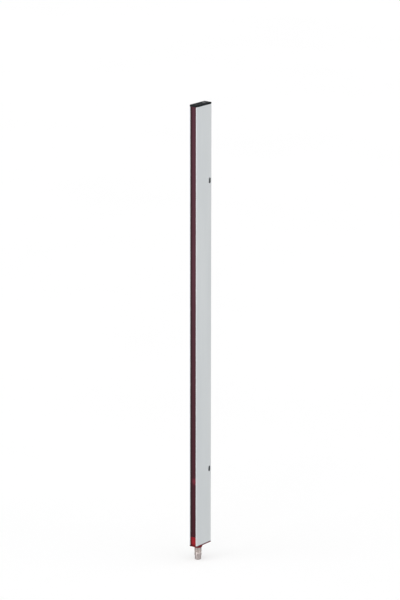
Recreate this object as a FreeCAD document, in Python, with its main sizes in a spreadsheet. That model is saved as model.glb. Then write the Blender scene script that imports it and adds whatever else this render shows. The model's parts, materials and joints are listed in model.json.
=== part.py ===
"""Slim safety light barrier: one extruded bar with a dark red window and an M8 plug.

Frame: X runs from the mounting face to the wide outer face, Y from the window to
the rear, Z up along the bar. The origin is the centre of the two mounting slots on
the mounting face. Inside a body, u is the distance from the middle of the width,
v the distance behind the front face, and z the height above the body's own base.
"""
import FreeCAD, Part
import math
import os
import Sketcher

# Driving dimensions, in millimetres unless the name says otherwise.
driving_sizes = [
    # the bar and its extruded section
    ("overall_length", 504.0),
    ("body_width", 10.0),
    ("body_depth", 27.0),
    ("side_wall", 1.1),
    ("rear_wall", 1.2),
    ("web_thickness", 1.0),
    ("front_corner_radius", 0.8),
    ("rear_corner_radius", 0.5),
    ("lip_reach", 1.15),
    ("lip_thickness", 0.9),
    ("groove_wall", 0.6),
    ("groove_height", 1.9),
    ("rib_reach", 1.9),
    ("rib_thickness", 0.8),
    ("board_rib_thickness", 0.7),
    ("screw_port_bore", 2.1),
    ("screw_port_wall", 0.8),
    # mounting slots
    ("slot_spacing", 330.0),
    ("slot_setback", 3.3),
    ("slot_width", 3.4),
    ("slot_length", 6.4),
    ("slot_side_room", 0.4),
    # clearances
    ("slide_gap", 0.1),
    ("spigot_gap", 0.15),
    ("seat_gap", 0.03),
    # window
    ("window_thickness", 1.2),
    ("window_recess", 0.15),
    ("window_end_gap", 0.1),
    # end caps, gaskets and their screws
    ("top_cap_thickness", 1.7),
    ("flange_thickness", 1.0),
    ("gasket_thickness", 0.4),
    ("gasket_inset", 0.25),
    ("cap_edge_radius", 0.4),
    ("spigot_depth", 6.0),
    ("rear_spigot_depth", 5.0),
    ("field_side_margin", 2.5),
    ("field_recess", 0.25),
    ("field_setback", 6.0),
    ("field_screw_room", 2.6),
    ("screw_head_diameter", 3.6),
    ("screw_head_height", 0.8),
    ("screw_diameter", 2.0),
    ("screw_length", 8.0),
    ("screw_socket_width", 1.3),
    ("screw_socket_depth", 0.6),
    # red front of the bottom cap
    ("tongue_height", 11.3),
    ("step_height", 2.8),
    ("step_recess", 0.45),
    # connector boss
    ("boss_width", 9.0),
    ("boss_length", 12.8),
    ("boss_end_length", 9.6),
    ("boss_end_width", 8.6),
    ("boss_height", 3.0),
    # plug shell
    ("connector_offset", 0.75),
    ("thread_diameter", 8.0),
    ("thread_length", 5.3),
    ("snap_groove_diameter", 6.6),
    ("snap_groove_width", 1.3),
    ("snap_ring_diameter", 7.9),
    ("snap_ring_width", 2.4),
    ("nose_diameter", 7.0),
    ("nose_length", 4.8),
    ("nose_chamfer", 0.5),
    ("socket_diameter", 5.8),
    ("stem_diameter", 6.0),
    ("stem_bore", 4.8),
    ("stem_rise", 3.0),
    # contact carrier, pins and sealing ring
    ("socket_depth", 9.0),
    ("insert_head", 2.8),
    ("insert_tail", 1.0),
    ("key_width", 1.0),
    ("key_height", 0.5),
    ("key_length", 6.0),
    ("pin_diameter", 1.0),
    ("pin_pitch", 2.1),
    ("pin_setback", 1.5),
    ("pin_tip", 0.25),
    ("pin_stand", 0.4),
    ("seal_ring_section", 0.8),
    ("seal_ring_drop", 1.2),
    # circuit board and what it carries
    ("board_port_room", 2.1),
    ("board_thickness", 1.0),
    ("board_top_room", 4.0),
    ("board_edge_gap", 0.15),
    ("chip_width", 4.8),
    ("chip_height", 0.9),
    ("chip_rise", 40.0),
    ("driver_width", 3.0),
    ("driver_length", 4.0),
    ("driver_count", 4),
    ("capacitor_width", 2.0),
    ("capacitor_length", 3.5),
    ("capacitor_height", 1.3),
    ("capacitor_pitch", 6.0),
    ("capacitor_count", 3),
    ("capacitor_rise", 14.0),
    # optics
    ("beam_pitch", 35.0),
    ("first_beam_height", 24.2),
    ("board_foot_lead", 12.2),
    ("last_beam_room", 20.0),
    ("emitter_width", 1.8),
    ("emitter_height", 0.7),
    ("carrier_end_margin", 5.0),
    ("lens_strip_width", 6.0),
    ("lens_strip_thickness", 1.2),
    ("lens_aperture", 5.0),
    ("lens_sag", 0.8),
    ("tunnel_taper_deg", 5.0),
    ("status_led_width", 1.4),
    ("status_led_height", 0.7),
    ("light_guide_diameter", 1.5),
    # flexible printed strip from the pins to the board
    ("flex_width", 4.6),
    ("flex_thickness", 0.25),
    ("flex_rise", 7.0),
    ("flex_bend_radius", 0.8),
]

# Places worked out from the sizes, as expressions.
half_width = "(Sizes.body_width / 2)"
front_y = "(Sizes.slot_setback - Sizes.body_depth)"
bottom_z = "(-Sizes.overall_length / 2)"
top_z = "(Sizes.overall_length / 2)"
flange_and_gasket = "(Sizes.flange_thickness + Sizes.gasket_thickness)"
profile_bottom_z = f"({bottom_z} + {flange_and_gasket})"
profile_top_z = f"({top_z} - Sizes.top_cap_thickness - Sizes.gasket_thickness)"
profile_length = f"({profile_top_z} - {profile_bottom_z})"

wall_u = f"({half_width} - Sizes.side_wall)"
lip_u = f"({half_width} - Sizes.lip_reach)"
groove_u = f"({half_width} - Sizes.groove_wall)"
rib_u = f"({half_width} - Sizes.rib_reach)"
groove_rear_v = "(Sizes.lip_thickness + Sizes.groove_height)"
rib_rear_v = f"({groove_rear_v} + Sizes.rib_thickness)"
slot_v = "(Sizes.body_depth - Sizes.slot_setback)"
web_rear_v = f"({slot_v} - Sizes.slot_width / 2 - Sizes.slot_side_room)"
web_front_v = f"({web_rear_v} - Sizes.web_thickness)"
chamber_rear_v = "(Sizes.body_depth - Sizes.rear_wall)"
screw_port_v = f"({web_front_v} - Sizes.screw_port_bore / 2 - Sizes.slide_gap)"
screw_port_radius = "(Sizes.screw_port_bore / 2 + Sizes.screw_port_wall)"
board_rear_v = f"({screw_port_v} - {screw_port_radius} - Sizes.board_port_room)"
board_front_v = f"({board_rear_v} - Sizes.board_thickness)"
board_groove_front_v = f"({board_front_v} - Sizes.slide_gap)"
board_groove_rear_v = f"({board_rear_v} + Sizes.slide_gap)"
board_rib_front_v = f"({board_groove_front_v} - Sizes.board_rib_thickness)"
board_rib_rear_v = f"({board_groove_rear_v} + Sizes.board_rib_thickness)"

window_nose_u = f"({lip_u} - Sizes.slide_gap)"
window_flange_u = f"({groove_u} - Sizes.slide_gap)"
window_step_v = "(Sizes.lip_thickness + Sizes.slide_gap)"
window_rear_v = f"({window_step_v} + Sizes.window_thickness)"
window_bottom_z = f"({bottom_z} + Sizes.tongue_height + Sizes.window_end_gap)"

spigot_u = f"({wall_u} - Sizes.spigot_gap)"
spigot_front_v = f"({rib_rear_v} + Sizes.spigot_gap)"
spigot_rear_v = f"({board_rib_front_v} - Sizes.spigot_gap)"
connector_v = f"(({spigot_front_v} + {spigot_rear_v}) / 2 + Sizes.connector_offset)"
rear_spigot_front_v = f"({web_rear_v} + Sizes.spigot_gap)"
rear_spigot_rear_v = f"({chamber_rear_v} - Sizes.spigot_gap)"

thread_end_z = "(-Sizes.boss_height - Sizes.thread_length)"
snap_groove_end_z = f"({thread_end_z} - Sizes.snap_groove_width)"
snap_ring_end_z = f"({snap_groove_end_z} - Sizes.snap_ring_width)"
nose_end_z = f"({snap_ring_end_z} - Sizes.nose_length)"
insert_face_z = f"({nose_end_z} + Sizes.socket_depth)"
insert_shoulder_z = f"({insert_face_z} + Sizes.insert_head)"
stem_top_z = "(Sizes.flange_thickness + Sizes.stem_rise)"
insert_top_z = f"({stem_top_z} + Sizes.insert_tail)"
spigot_top_z = f"({flange_and_gasket} + Sizes.spigot_depth)"
pin_top_z = f"({spigot_top_z} + Sizes.pin_stand)"
connector_y = f"({front_y} + {connector_v})"
stem_bore_wall = "(Sizes.stem_diameter / 2 + Sizes.seat_gap)"
seal_ring_low_z = "(-Sizes.seal_ring_drop - Sizes.seal_ring_section)"

first_beam_z = f"({bottom_z} + Sizes.first_beam_height)"
board_bottom_z = f"({first_beam_z} - Sizes.board_foot_lead)"
board_top_z = f"({profile_top_z} - Sizes.spigot_depth - Sizes.board_top_room)"
board_length = f"({board_top_z} - {board_bottom_z})"
driver_pitch = f"({board_length} / Sizes.driver_count)"
beam_room = "(Sizes.overall_length - Sizes.first_beam_height - Sizes.last_beam_room)"
beam_count = f"(floor({beam_room} / Sizes.beam_pitch) + 1)"
beam_span = f"(Sizes.beam_pitch * ({beam_count} - 1))"
carrier_bottom_z = f"({first_beam_z} - Sizes.carrier_end_margin)"
carrier_length = f"({beam_span} + 2 * Sizes.carrier_end_margin)"
status_rise = "(Sizes.carrier_end_margin + 1.5 * Sizes.beam_pitch)"
status_z = f"({carrier_bottom_z} + {status_rise})"
status_u = f"({rib_u} - Sizes.slide_gap - Sizes.light_guide_diameter / 2)"
lens_rear_v = f"({spigot_front_v} + Sizes.lens_strip_thickness)"
guide_hole_diameter = "(Sizes.light_guide_diameter + 2 * Sizes.slide_gap)"

doc = FreeCAD.newDocument("light_barrier")
sizes = doc.addObject("Spreadsheet::Sheet", "Sizes")
for row, (alias, number) in enumerate(driving_sizes, start=1):
    sizes.set(f"A{row}", alias)
    sizes.set(f"B{row}", str(number))
    sizes.setAlias(f"B{row}", alias)
doc.recompute()

pieces = []
tolerance = 1e-5


def value(expression):
    """Number that an expression on the sheet gives now."""
    return float(sizes.evalExpression(expression))


def new_body(label, z, y=front_y):
    """Body whose base lies at height z, in the middle of the bar's width."""
    body = doc.addObject("PartDesign::Body", label)
    body.Label = label
    body.AllowCompound = True
    body.setExpression("Placement.Base.x", half_width)
    body.setExpression("Placement.Base.y", y)
    body.setExpression("Placement.Base.z", z)
    pieces.append(body)
    return body


def new_sketch(body, name, plane="XY_Plane", lift=None):
    """Empty sketch on one of the body's own planes, lifted along its normal."""
    sketch = body.newObject("Sketcher::SketchObject", name)
    support = [item for item in body.Origin.OriginFeatures if item.Role == plane][0]
    sketch.AttachmentSupport = (support, [""])
    sketch.MapMode = "FlatFace"
    if lift is not None:
        sketch.setExpression("AttachmentOffset.Base.z", lift)
    return sketch


def place_point(sketch, geometry, point, across, up):
    """Tie a point of the sketch to two expressions."""
    for kind, expression in (("DistanceX", across), ("DistanceY", up)):
        index = sketch.addConstraint(
            Sketcher.Constraint(kind, -1, 1, geometry, point, value(expression)))
        sketch.setExpression(f"Constraints[{index}]", expression)


def draw_polygon(sketch, corners):
    """Closed outline through corners that are given as pairs of expressions."""
    spots = [FreeCAD.Vector(value(across), value(up), 0) for across, up in corners]
    first = sketch.GeometryCount
    count = len(spots)
    for index, spot in enumerate(spots):
        sketch.addGeometry(Part.LineSegment(spot, spots[(index + 1) % count]), False)
    for index in range(count):
        follower = first + (index + 1) % count
        sketch.addConstraint(Sketcher.Constraint("Coincident", first + index, 2, follower, 1))
    for index, (across, up) in enumerate(corners):
        place_point(sketch, first + index, 1, across, up)


def draw_rectangle(sketch, left, right, low, high):
    """Upright rectangle between four expressions."""
    draw_polygon(sketch, [(left, low), (right, low), (right, high), (left, high)])


def draw_circle(sketch, across, up, diameter):
    """Circle with a bound centre and diameter."""
    centre = FreeCAD.Vector(value(across), value(up), 0)
    circle = Part.Circle(centre, FreeCAD.Vector(0, 0, 1), value(diameter) / 2)
    geometry = sketch.addGeometry(circle, False)
    place_point(sketch, geometry, 3, across, up)
    index = sketch.addConstraint(Sketcher.Constraint("Diameter", geometry, value(diameter)))
    sketch.setExpression(f"Constraints[{index}]", diameter)


def draw_hexagon(sketch, width):
    """Regular hexagon about the origin, with this width over its flats."""
    reach = f"({width} / cos(30 deg) / 2)"
    draw_polygon(sketch, [(f"({reach} * cos({angle} deg))", f"({reach} * sin({angle} deg))")
                          for angle in range(0, 360, 60)])


def draw_axis(sketch, across, low, high):
    """Upright construction line that a revolution can turn about."""
    ends = [FreeCAD.Vector(value(across), value(up), 0) for up in (low, high)]
    line = sketch.addGeometry(Part.LineSegment(*ends), True)
    place_point(sketch, line, 1, across, low)
    place_point(sketch, line, 2, across, high)


def draw_obround(sketch, across, up, width, length):
    """Slot outline with round ends, its long axis along the sketch's own Y."""
    radius = f"({width} / 2)"
    reach = f"(({length} - {width}) / 2)"
    x, y = value(across), value(up)
    r, s = value(radius), value(reach)
    normal = FreeCAD.Vector(0, 0, 1)
    high_circle = Part.Circle(FreeCAD.Vector(x, y + s, 0), normal, r)
    low_circle = Part.Circle(FreeCAD.Vector(x, y - s, 0), normal, r)
    high = sketch.addGeometry(Part.ArcOfCircle(high_circle, 0, math.pi), False)
    left = sketch.addGeometry(Part.LineSegment(
        FreeCAD.Vector(x - r, y + s, 0), FreeCAD.Vector(x - r, y - s, 0)), False)
    low = sketch.addGeometry(Part.ArcOfCircle(low_circle, math.pi, 2 * math.pi), False)
    right = sketch.addGeometry(Part.LineSegment(
        FreeCAD.Vector(x + r, y - s, 0), FreeCAD.Vector(x + r, y + s, 0)), False)
    for before, after in ((high, left), (left, low), (low, right), (right, high)):
        sketch.addConstraint(Sketcher.Constraint("Tangent", before, 2, after, 1))
    place_point(sketch, high, 3, across, f"({up} + {reach})")
    place_point(sketch, low, 3, across, f"({up} - {reach})")
    index = sketch.addConstraint(Sketcher.Constraint("Radius", high, r))
    sketch.setExpression(f"Constraints[{index}]", radius)


def add_pad(body, sketch, name, length, downward=False, taper=None):
    """Extrusion of a sketch along its normal, or against it."""
    pad = body.newObject("PartDesign::Pad", name)
    pad.Profile = sketch
    pad.setExpression("Length", length)
    pad.Reversed = downward
    if taper is not None:
        pad.setExpression("TaperAngle", taper)
    doc.recompute()
    return pad


def add_pocket(body, sketch, name, depth=None, reverse=False, taper=None):
    """Cut against the sketch's normal, or through everything when no depth is given."""
    before = body.Shape.Volume
    pocket = body.newObject("PartDesign::Pocket", name)
    pocket.Profile = sketch
    if depth is None:
        pocket.SideType = "Symmetric"
        pocket.Type = "ThroughAll"
    else:
        pocket.setExpression("Length", depth)
        pocket.Reversed = reverse
    if taper is not None:
        pocket.setExpression("TaperAngle", taper)
    doc.recompute()
    if body.Shape.Volume > before - tolerance:
        raise RuntimeError(f"{body.Label}: {name} cuts nothing")
    return pocket


def add_revolution(body, sketch, name, axis="V_Axis"):
    """Full turn of a sketch about its own vertical axis, or about a line drawn in it."""
    turned = body.newObject("PartDesign::Revolution", name)
    turned.Profile = sketch
    turned.ReferenceAxis = (sketch, [axis])
    turned.Angle = 360
    doc.recompute()
    return turned


def add_groove(body, sketch, name):
    """Full turn of a sketch about its own vertical axis, cut out of the body."""
    before = body.Shape.Volume
    groove = body.newObject("PartDesign::Groove", name)
    groove.Profile = sketch
    groove.ReferenceAxis = (sketch, ["V_Axis"])
    groove.Angle = 360
    doc.recompute()
    if body.Shape.Volume > before - tolerance:
        raise RuntimeError(f"{body.Label}: {name} cuts nothing")
    return groove


def add_row(body, features, sketch, name, span, count):
    """Copies of some features in a row along the sketch's vertical axis."""
    pattern = body.newObject("PartDesign::LinearPattern", name)
    pattern.Originals = features
    pattern.Direction = (sketch, ["V_Axis"])
    pattern.setExpression("Length", span)
    pattern.setExpression("Occurrences", count)
    body.Tip = pattern
    doc.recompute()
    return pattern


def add_ring(body, features, sketch, name, count):
    """Copies of some features, evenly spaced about the sketch's normal."""
    pattern = body.newObject("PartDesign::PolarPattern", name)
    pattern.Originals = features
    pattern.Axis = (sketch, ["N_Axis"])
    pattern.Angle = 360
    pattern.Occurrences = count
    body.Tip = pattern
    doc.recompute()
    return pattern


def edges_where(body, test):
    """Names of the edges of the body so far whose end points all pass a test."""
    feature_shape = body.Tip.Shape
    names = []
    for index, edge in enumerate(feature_shape.Edges, start=1):
        if all(test(vertex.Point) for vertex in edge.Vertexes):
            names.append(f"Edge{index}")
    return names


def near(one, other):
    """True where two lengths agree."""
    return abs(one - other) < 1e-4


def add_fillet(body, name, edges, radius):
    """Rounded edges of a bound radius."""
    base = body.Tip
    fillet = body.newObject("PartDesign::Fillet", name)
    fillet.Base = (base, edges)
    fillet.setExpression("Radius", radius)
    body.Tip = fillet
    doc.recompute()
    return fillet


def round_corners(body):
    """Round the four long edges of the section as the extrusion has them."""
    reach = value(half_width)
    for end, depth, radius in (("front", "0", "Sizes.front_corner_radius"),
                               ("rear", "Sizes.body_depth", "Sizes.rear_corner_radius")):
        edges = edges_where(
            body, lambda p: near(abs(p.x), reach) and near(p.y, value(depth)))
        edges = [name for name in edges
                 if near(body.Tip.Shape.getElement(name).Vertexes[0].Point.x,
                         body.Tip.Shape.getElement(name).Vertexes[1].Point.x)]
        add_fillet(body, f"{body.Label}_{end}_corners", edges, radius)


def mirrored(half):
    """Whole outline from its right half, given from the rear to the front."""
    return half + [(f"(-{across})", up) for across, up in reversed(half)]


def bar_outline(sketch):
    """Outer rectangle of the section."""
    draw_rectangle(sketch, f"(-{half_width})", half_width, "0", "Sizes.body_depth")


def make_housing_profile():
    """Extruded bar: window grooves, board guides, screw port and slotted rear chamber."""
    body = new_body("housing_profile", profile_bottom_z)
    section = new_sketch(body, "profile_section")
    inside = [
        (wall_u, web_front_v),
        (wall_u, board_rib_rear_v),
        (rib_u, board_rib_rear_v),
        (rib_u, board_groove_rear_v),
        (wall_u, board_groove_rear_v),
        (wall_u, board_groove_front_v),
        (rib_u, board_groove_front_v),
        (rib_u, board_rib_front_v),
        (wall_u, board_rib_front_v),
        (wall_u, rib_rear_v),
        (rib_u, rib_rear_v),
        (rib_u, groove_rear_v),
        (groove_u, groove_rear_v),
        (groove_u, "Sizes.lip_thickness"),
        (lip_u, "Sizes.lip_thickness"),
        (lip_u, "0"),
    ]
    outside = [(half_width, "0"), (half_width, "Sizes.body_depth")]
    draw_polygon(section, mirrored(inside + outside))
    draw_rectangle(section, f"(-{wall_u})", wall_u, web_rear_v, chamber_rear_v)
    add_pad(body, section, "profile_extrusion", profile_length)

    port = new_sketch(body, "screw_port_section")
    draw_circle(port, "0", screw_port_v, f"(2 * {screw_port_radius})")
    add_pad(body, port, "screw_port", profile_length)
    bore = new_sketch(body, "screw_port_bore_section")
    draw_circle(bore, "0", screw_port_v, "Sizes.screw_port_bore")
    add_pocket(body, bore, "screw_port_bore")
    round_corners(body)

    slots = new_sketch(body, "slot_outlines", "YZ_Plane")
    for side in ("-", "+"):
        height = f"(-{profile_bottom_z} {side} Sizes.slot_spacing / 2)"
        draw_obround(slots, slot_v, height, "Sizes.slot_width", "Sizes.slot_length")
    add_pocket(body, slots, "mounting_slots")


def window_section(sketch):
    """T-shaped section that slides in behind the lips of the bar."""
    draw_polygon(sketch, mirrored([
        (window_flange_u, window_rear_v),
        (window_flange_u, window_step_v),
        (window_nose_u, window_step_v),
        (window_nose_u, "Sizes.window_recess"),
    ]))


def make_window():
    """Dark red filter strip."""
    body = new_body("front_window", window_bottom_z)
    section = new_sketch(body, "window_section")
    window_section(section)
    add_pad(body, section, "window_strip", f"({profile_top_z} - {window_bottom_z})")


def make_window_seals():
    """Two sealing strips between the window's edges and the ribs behind them."""
    for label, inner, outer in (
            ("window_seal_left", f"(-{window_flange_u})", f"(-{rib_u})"),
            ("window_seal_right", rib_u, window_flange_u)):
        body = new_body(label, window_bottom_z)
        section = new_sketch(body, f"{label}_section")
        draw_rectangle(section, inner, outer, window_rear_v, groove_rear_v)
        add_pad(body, section, f"{label}_strip", f"({profile_top_z} - {window_bottom_z})")


def add_spigots(body, root, front_length, rear_length, downward):
    """Two tongues of an end cap that fill the bar's front and rear chambers."""
    front = new_sketch(body, f"{root}_front_spigot_section")
    draw_rectangle(front, f"(-{spigot_u})", spigot_u, spigot_front_v, spigot_rear_v)
    add_pad(body, front, f"{root}_front_spigot", front_length, downward)
    rear = new_sketch(body, f"{root}_rear_spigot_section")
    draw_rectangle(rear, f"(-{spigot_u})", spigot_u, rear_spigot_front_v, rear_spigot_rear_v)
    add_pad(body, rear, f"{root}_rear_spigot", rear_length, downward)


def add_screw_hole(body, root, face_height, inward):
    """Countersunk hole over the bar's screw port; inward is the sign of its way in."""
    side = new_sketch(body, f"{root}_screw_hole_side", "XZ_Plane", f"(-{screw_port_v})")
    head_radius = "(Sizes.screw_head_diameter / 2 + Sizes.seat_gap)"
    hole_radius = "(Sizes.screw_diameter / 2 + Sizes.slide_gap)"
    head_foot = f"({face_height} {inward} Sizes.screw_head_height)"
    hole_end = f"({face_height} {inward} Sizes.screw_length)"
    draw_polygon(side, [
        ("0", face_height),
        (head_radius, face_height),
        (hole_radius, head_foot),
        (hole_radius, hole_end),
        ("0", hole_end),
    ])
    add_groove(body, side, f"{root}_screw_hole")


def make_top_cap():
    """Black end cap: plate, soft upper edge, shallow field and two spigots."""
    body = new_body("top_cap", f"({top_z} - Sizes.top_cap_thickness)")
    plate = new_sketch(body, "top_plate_outline")
    bar_outline(plate)
    add_pad(body, plate, "top_plate", "Sizes.top_cap_thickness")
    round_corners(body)
    height = value("Sizes.top_cap_thickness")
    rim = edges_where(body, lambda p: near(p.z, height))
    add_fillet(body, "top_cap_edge", rim, "Sizes.cap_edge_radius")
    field = new_sketch(body, "top_field_outline", lift="Sizes.top_cap_thickness")
    field_u = f"({half_width} - Sizes.field_side_margin)"
    draw_rectangle(field, f"(-{field_u})", field_u, "Sizes.field_setback",
                   f"({screw_port_v} - Sizes.screw_head_diameter / 2 - Sizes.field_screw_room)")
    add_pocket(body, field, "top_field", "Sizes.field_recess")
    add_spigots(body, "top", "(Sizes.gasket_thickness + Sizes.spigot_depth)",
                "(Sizes.gasket_thickness + Sizes.rear_spigot_depth)", True)
    add_screw_hole(body, "top", "Sizes.top_cap_thickness", "-")


def make_bottom_cap():
    """Red end cap: flange, front tongue, spigots and the tapered plug boss."""
    body = new_body("bottom_cap", bottom_z)
    plate = new_sketch(body, "flange_outline")
    bar_outline(plate)
    add_pad(body, plate, "flange", "Sizes.flange_thickness")
    round_corners(body)
    tongue = new_sketch(body, "tongue_section")
    window_section(tongue)
    add_pad(body, tongue, "tongue", "Sizes.tongue_height")
    step = new_sketch(body, "step_outline", "XZ_Plane", "(-Sizes.window_recess)")
    draw_rectangle(step, f"(-{half_width})", half_width,
                   "Sizes.flange_thickness", "Sizes.step_height")
    add_pocket(body, step, "front_step", "Sizes.step_recess")
    neck = new_sketch(body, "neck_section")
    neck_u = f"({rib_u} - Sizes.spigot_gap)"
    draw_rectangle(neck, f"(-{neck_u})", neck_u, window_rear_v, spigot_front_v)
    add_pad(body, neck, "neck", spigot_top_z)
    add_spigots(body, "bottom", spigot_top_z,
                f"({flange_and_gasket} + Sizes.rear_spigot_depth)", False)

    boss_root = new_sketch(body, "boss_root_outline")
    draw_obround(boss_root, "0", connector_v,
                 "Sizes.boss_width", "Sizes.boss_length")
    boss_end = new_sketch(body, "boss_end_outline", lift="(-Sizes.boss_height)")
    draw_obround(boss_end, "0", connector_v,
                 "Sizes.boss_end_width", "Sizes.boss_end_length")
    boss = body.newObject("PartDesign::AdditiveLoft", "plug_boss")
    boss.Profile = boss_root
    boss.Sections = [boss_end]
    doc.recompute()
    bore = new_sketch(body, "plug_bore_section")
    draw_circle(bore, "0", connector_v, f"(2 * {stem_bore_wall})")
    add_pocket(body, bore, "plug_bore")
    gland = new_sketch(body, "seal_ring_gland_side", "XZ_Plane", f"(-{connector_v})")
    draw_rectangle(gland, f"({stem_bore_wall} - Sizes.seat_gap)",
                   f"({stem_bore_wall} + Sizes.seal_ring_section)",
                   f"({seal_ring_low_z} - Sizes.seat_gap)",
                   "(Sizes.seat_gap - Sizes.seal_ring_drop)")
    add_groove(body, gland, "seal_ring_gland")
    add_screw_hole(body, "bottom", "0", "+")


def make_gasket(label, root, base_z, with_tongue):
    """Flat rubber gasket between a cap and the end of the bar."""
    body = new_body(label, base_z)
    edge_u = f"({half_width} - Sizes.gasket_inset)"
    sheet = new_sketch(body, f"{root}_gasket_outline")
    draw_rectangle(sheet, f"(-{edge_u})", edge_u, "Sizes.gasket_inset",
                   "(Sizes.body_depth - Sizes.gasket_inset)")
    add_pad(body, sheet, f"{root}_gasket_sheet", "Sizes.gasket_thickness")
    front_rear_v = spigot_rear_v
    if with_tongue:
        front_rear_v = f"max({spigot_rear_v}; {connector_v} + {stem_bore_wall})"
    openings = [(f"{root}_front", spigot_u, spigot_front_v, front_rear_v),
                (f"{root}_rear", spigot_u, rear_spigot_front_v, rear_spigot_rear_v)]
    if with_tongue:
        openings.append((f"{root}_tongue", window_flange_u, "0", window_rear_v))
        openings.append((f"{root}_neck", f"({rib_u} - Sizes.spigot_gap)",
                         window_rear_v, spigot_front_v))
    for name, reach, low, high in openings:
        opening = new_sketch(body, f"{name}_opening_outline")
        draw_rectangle(opening, f"(-{reach} - Sizes.slide_gap)", f"({reach} + Sizes.slide_gap)",
                       f"({low} - Sizes.slide_gap)", f"({high} + Sizes.slide_gap)")
        add_pocket(body, opening, f"{name}_opening")
    hole = new_sketch(body, f"{root}_gasket_hole_section")
    draw_circle(hole, "0", screw_port_v, "(Sizes.screw_diameter + 2 * Sizes.slide_gap)")
    add_pocket(body, hole, f"{root}_gasket_hole")


def make_screw(label, base_z, upside_down):
    """Countersunk screw that stands in the bar's screw port."""
    body = new_body(label, base_z, f"({front_y} + {screw_port_v})")
    if upside_down:
        body.Placement.Rotation = FreeCAD.Rotation(FreeCAD.Vector(1, 0, 0), 180)
    head_radius = "(Sizes.screw_head_diameter / 2)"
    shank_radius = "(Sizes.screw_diameter / 2)"
    side = new_sketch(body, f"{label}_side", "XZ_Plane")
    draw_polygon(side, [
        ("0", "0"),
        (head_radius, "0"),
        (shank_radius, "(-Sizes.screw_head_height)"),
        (shank_radius, "(-Sizes.screw_length)"),
        ("0", "(-Sizes.screw_length)"),
    ])
    add_revolution(body, side, f"{label}_turned")
    socket = new_sketch(body, f"{label}_socket_section")
    draw_hexagon(socket, "Sizes.screw_socket_width")
    add_pocket(body, socket, f"{label}_socket", "Sizes.screw_socket_depth")


def make_connector_shell():
    """Turned metal shell of the M8 plug: stem, thread, snap groove, ring and nose."""
    body = new_body("connector_shell", bottom_z, connector_y)
    stem_radius = "(Sizes.stem_diameter / 2)"
    stem_bore_radius = "(Sizes.stem_bore / 2)"
    thread_radius = "(Sizes.thread_diameter / 2)"
    snap_groove_radius = "(Sizes.snap_groove_diameter / 2)"
    snap_ring_radius = "(Sizes.snap_ring_diameter / 2)"
    nose_radius = "(Sizes.nose_diameter / 2)"
    socket_radius = "(Sizes.socket_diameter / 2)"
    side = new_sketch(body, "shell_side", "XZ_Plane")
    draw_polygon(side, [
        (stem_bore_radius, stem_top_z),
        (stem_radius, stem_top_z),
        (stem_radius, "(-Sizes.boss_height)"),
        (thread_radius, "(-Sizes.boss_height)"),
        (thread_radius, thread_end_z),
        (snap_groove_radius, thread_end_z),
        (snap_groove_radius, snap_groove_end_z),
        (snap_ring_radius, snap_groove_end_z),
        (snap_ring_radius, snap_ring_end_z),
        (nose_radius, snap_ring_end_z),
        (nose_radius, f"({nose_end_z} + Sizes.nose_chamfer)"),
        (f"({nose_radius} - Sizes.nose_chamfer)", nose_end_z),
        (socket_radius, nose_end_z),
        (socket_radius, insert_shoulder_z),
        (stem_bore_radius, insert_shoulder_z),
    ])
    add_revolution(body, side, "shell_turned")


def make_connector_insert():
    """Black contact carrier with its coding key, seated in the shell."""
    body = new_body("connector_insert", bottom_z, connector_y)
    head_radius = "(Sizes.socket_diameter / 2 - Sizes.seat_gap)"
    tail_radius = "(Sizes.stem_bore / 2 - Sizes.seat_gap)"
    side = new_sketch(body, "insert_side", "XZ_Plane")
    draw_polygon(side, [
        ("0", insert_face_z),
        (head_radius, insert_face_z),
        (head_radius, insert_shoulder_z),
        (tail_radius, insert_shoulder_z),
        (tail_radius, insert_top_z),
        ("0", insert_top_z),
    ])
    add_revolution(body, side, "insert_turned")
    key = new_sketch(body, "key_section", lift=insert_face_z)
    key_outer = f"({head_radius} - 2 * Sizes.seat_gap)"
    draw_rectangle(key, "(-Sizes.key_width / 2)", "(Sizes.key_width / 2)",
                   f"({key_outer} - Sizes.key_height)", key_outer)
    add_pad(body, key, "coding_key", "Sizes.key_length", downward=True)
    hole = new_sketch(body, "contact_hole_section")
    draw_circle(hole, "(Sizes.pin_pitch / 2)", "(Sizes.pin_pitch / 2)",
                "(Sizes.pin_diameter + 2 * Sizes.seat_gap)")
    holes = add_pocket(body, hole, "contact_hole")
    add_ring(body, [holes], hole, "contact_holes", 4)


def make_contact_pins():
    """Four contact pins, from their tips in the socket to their solder ends."""
    body = new_body("contact_pins", bottom_z, connector_y)
    axis_u = "(Sizes.pin_pitch / 2)"
    rim_u = f"({axis_u} + Sizes.pin_diameter / 2)"
    tip_z = f"({nose_end_z} + Sizes.pin_setback)"
    side = new_sketch(body, "pin_side", "XZ_Plane", axis_u)
    draw_axis(side, axis_u, tip_z, pin_top_z)
    draw_polygon(side, [
        (axis_u, pin_top_z),
        (rim_u, pin_top_z),
        (rim_u, f"({tip_z} + Sizes.pin_tip)"),
        (f"({rim_u} - Sizes.pin_tip)", tip_z),
        (axis_u, tip_z),
    ])
    pin = add_revolution(body, side, "pin_turned", "Axis0")
    circle = new_sketch(body, "pin_circle")
    draw_circle(circle, "0", "0", "(2 * Sizes.pin_pitch)")
    add_ring(body, [pin], circle, "pin_ring", 4)


def make_connector_seal():
    """Square sealing ring round the stem, in the boss's gland."""
    body = new_body("connector_seal", bottom_z, connector_y)
    side = new_sketch(body, "seal_ring_side", "XZ_Plane")
    draw_rectangle(side, stem_bore_wall,
                   f"({stem_bore_wall} + Sizes.seal_ring_section - Sizes.seat_gap)",
                   seal_ring_low_z, "(-Sizes.seal_ring_drop)")
    add_revolution(body, side, "seal_ring_turned")


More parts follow.
